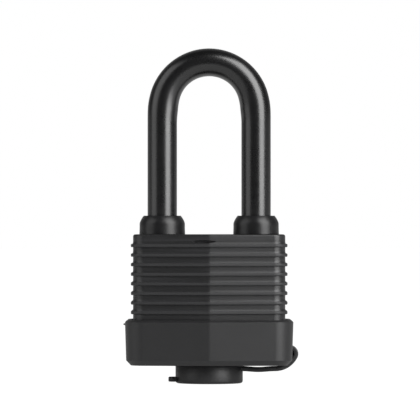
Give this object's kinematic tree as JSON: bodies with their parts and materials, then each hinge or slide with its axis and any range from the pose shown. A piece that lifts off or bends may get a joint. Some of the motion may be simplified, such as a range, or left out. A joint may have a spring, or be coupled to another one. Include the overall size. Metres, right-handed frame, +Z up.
{
  "type": "padlock",
  "caption": "Weatherproof laminated padlock with a round steel shackle, ribbed jacket, wide base cover, rubber shackle seals and a tethered keyway cap.",
  "frame": {"origin": "centre of the keyway cap's flat underside, on the plug's axis", "axes": "+Z up along the plug's axis towards the shackle's crown, +X from the heel leg to the toe leg and the cap's strap, -Y out of the front"},
  "size_m": [0.0418, 0.0274, 0.081],
  "materials": {
    "jacket_plastic": "satin moulded black thermoplastic",
    "cover_plastic": "satin moulded black thermoplastic",
    "seal_rubber": "smooth black rubber",
    "cap_rubber": "matte black rubber",
    "black_steel": "semi-gloss black coating on a hardened steel rod",
    "plate_steel": "zinc-plated stamped steel",
    "rivet_steel": "bright steel",
    "bolt_steel": "ground steel",
    "spring_steel": "drawn stainless wire",
    "pin_steel": "turned nickel-plated steel",
    "shell_brass": "machined brass",
    "plug_brass": "turned brass",
    "pin_brass": "turned brass"
  },
  "bodies": {
    "lock_body": {"jacket": "jacket_plastic", "base_cover": "cover_plastic", "shackle_seal_left": "seal_rubber", "shackle_seal_right": "seal_rubber", "cap_strap": "cap_rubber", "shackle_spring": "spring_steel", "body_rivets": "rivet_steel", "bottom_plate": "plate_steel", "cylinder_plate_1": "plate_steel", "cylinder_plate_2": "plate_steel", "cylinder_plate_3": "plate_steel", "cylinder_plate_4": "plate_steel", "cylinder_plate_5": "plate_steel", "cylinder_plate_6": "plate_steel", "cylinder_plate_7": "plate_steel", "divider_plate": "plate_steel", "bolt_plate": "plate_steel", "guide_plate": "plate_steel", "top_plate": "plate_steel", "cylinder_shell": "shell_brass", "driver_pins": "pin_steel", "pin_springs": "spring_steel", "chamber_strip": "shell_brass", "bolt_spring_left": "spring_steel", "bolt_spring_right": "spring_steel"},
    "shackle": {"shackle": "black_steel"},
    "plug": {"cylinder_plug": "plug_brass", "key_pins": "pin_brass", "cam": "bolt_steel", "cam_screw": "pin_steel"},
    "left_bolt": {"locking_bolt_left": "bolt_steel"},
    "right_bolt": {"locking_bolt_right": "bolt_steel"},
    "cap": {"keyway_cap": "cap_rubber"}
  },
  "joints": [
    {"name": "shackle_lift", "type": "slide", "parent": "lock_body", "child": "shackle", "axis": [0, 0, 1], "range_m": [0, 0.01585], "deforming": ["shackle_spring"]},
    {"name": "plug_turn", "type": "hinge", "parent": "lock_body", "child": "plug", "pos_m": [0, 0, 0.0062], "axis": [0, 0, 1], "range_deg": [-90, 0]},
    {"name": "left_bolt_slide", "type": "slide", "parent": "lock_body", "child": "left_bolt", "axis": [1, 0, 0], "range_m": [-0.0018, 0], "deforming": ["bolt_spring_left"]},
    {"name": "right_bolt_slide", "type": "slide", "parent": "lock_body", "child": "right_bolt", "axis": [1, 0, 0], "range_m": [0, 0.0018], "deforming": ["bolt_spring_right"]},
    {"name": "cap_flip", "type": "hinge", "parent": "lock_body", "child": "cap", "pos_m": [0.00895, 0, 0.0035], "axis": [0, -1, 0], "range_deg": [0, 90]}
  ],
  "couplings": [
    {"joint": "left_bolt_slide", "follows": "plug_turn", "m_per_rad": 0.0011459},
    {"joint": "right_bolt_slide", "follows": "plug_turn", "m_per_rad": -0.0011459}
  ]
}
